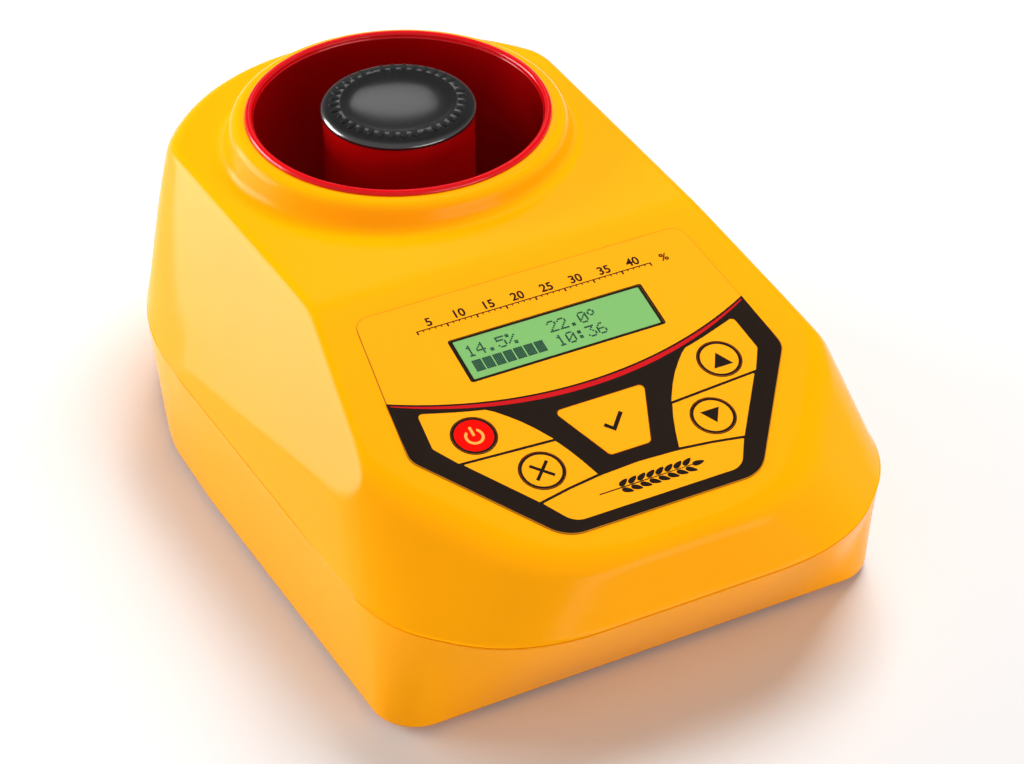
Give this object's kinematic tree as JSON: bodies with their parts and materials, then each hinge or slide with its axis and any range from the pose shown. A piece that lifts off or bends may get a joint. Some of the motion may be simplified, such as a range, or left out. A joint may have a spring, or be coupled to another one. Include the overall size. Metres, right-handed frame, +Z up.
{
  "type": "grain moisture meter",
  "caption": "Bench grain moisture meter: two-shell housing, open measuring chamber with centre electrode, tilted panel with display and press keys.",
  "frame": {"origin": "centre of the footprint, at the height of the undersides of the rubber feet", "axes": "+Z up out of the measuring chamber, -Y towards the user and the control panel, +X to the user's right"},
  "size_m": [0.1892, 0.2894, 0.1075],
  "materials": {
    "housing_yellow": "fine satin moulding",
    "chamber_red": "gloss",
    "cap_black": "semi-gloss",
    "electrode_metal": "satin",
    "steel": "zinc plated",
    "label_film": "printed polyester film",
    "key_red": "printed polyester film",
    "window_clear": "clear hard-coated",
    "display_green": "positive reflective display",
    "bezel_black": "black",
    "circuit_board": "green solder mask",
    "ribbon_grey": "flat cable",
    "lead_black": "cable jacket",
    "contact_metal": "nickel plated",
    "cell_sleeve": "plain sleeve",
    "rubber_black": "matt"
  },
  "bodies": {
    "housing": {"top_cover": "housing_yellow", "bottom_base": "housing_yellow", "measuring_chamber": "chamber_red", "electrode_sleeve": "chamber_red", "centre_electrode": "electrode_metal", "electrode_cap": "cap_black", "electrode_tie_bolt": "steel", "outer_electrode_band": "electrode_metal", "temperature_probe": "steel", "chamber_screws": "steel", "keypad_overlay": "label_film", "display_window": "window_clear", "key_domes": "steel", "keypad_board": "circuit_board", "keypad_screws": "steel", "display_glass": "display_green", "display_bezel": "bezel_black", "display_board": "circuit_board", "display_screws": "steel", "ribbon_cable": "ribbon_grey", "main_board": "circuit_board", "board_components": "cap_black", "main_board_screws": "steel", "buzzer": "cap_black", "sensor_lead": "lead_black", "battery_contacts": "contact_metal", "battery_cells": "cell_sleeve", "housing_screws": "steel", "rubber_feet": "rubber_black"},
    "on_off_key": {"on_off_key": "key_red"},
    "cancel_key": {"cancel_key": "label_film"},
    "ok_key": {"ok_key": "label_film"},
    "up_key": {"up_key": "label_film"},
    "down_key": {"down_key": "label_film"},
    "battery_cover": {"battery_cover": "housing_yellow"}
  },
  "joints": [
    {"name": "on_off_key_press", "type": "slide", "parent": "housing", "child": "on_off_key", "axis": [0, 0.239, -0.971], "range_m": [0, 0.00045], "stiffness_N_per_m": 1500},
    {"name": "cancel_key_press", "type": "slide", "parent": "housing", "child": "cancel_key", "axis": [0, 0.239, -0.971], "range_m": [0, 0.00045], "stiffness_N_per_m": 1500},
    {"name": "ok_key_press", "type": "slide", "parent": "housing", "child": "ok_key", "axis": [0, 0.239, -0.971], "range_m": [0, 0.00045], "stiffness_N_per_m": 1500},
    {"name": "up_key_press", "type": "slide", "parent": "housing", "child": "up_key", "axis": [0, 0.239, -0.971], "range_m": [0, 0.00045], "stiffness_N_per_m": 1500},
    {"name": "down_key_press", "type": "slide", "parent": "housing", "child": "down_key", "axis": [0, 0.239, -0.971], "range_m": [0, 0.00045], "stiffness_N_per_m": 1500},
    {"name": "battery_cover_slide", "type": "slide", "parent": "housing", "child": "battery_cover", "axis": [0, 1, 0], "range_m": [0, 0.012]}
  ]
}
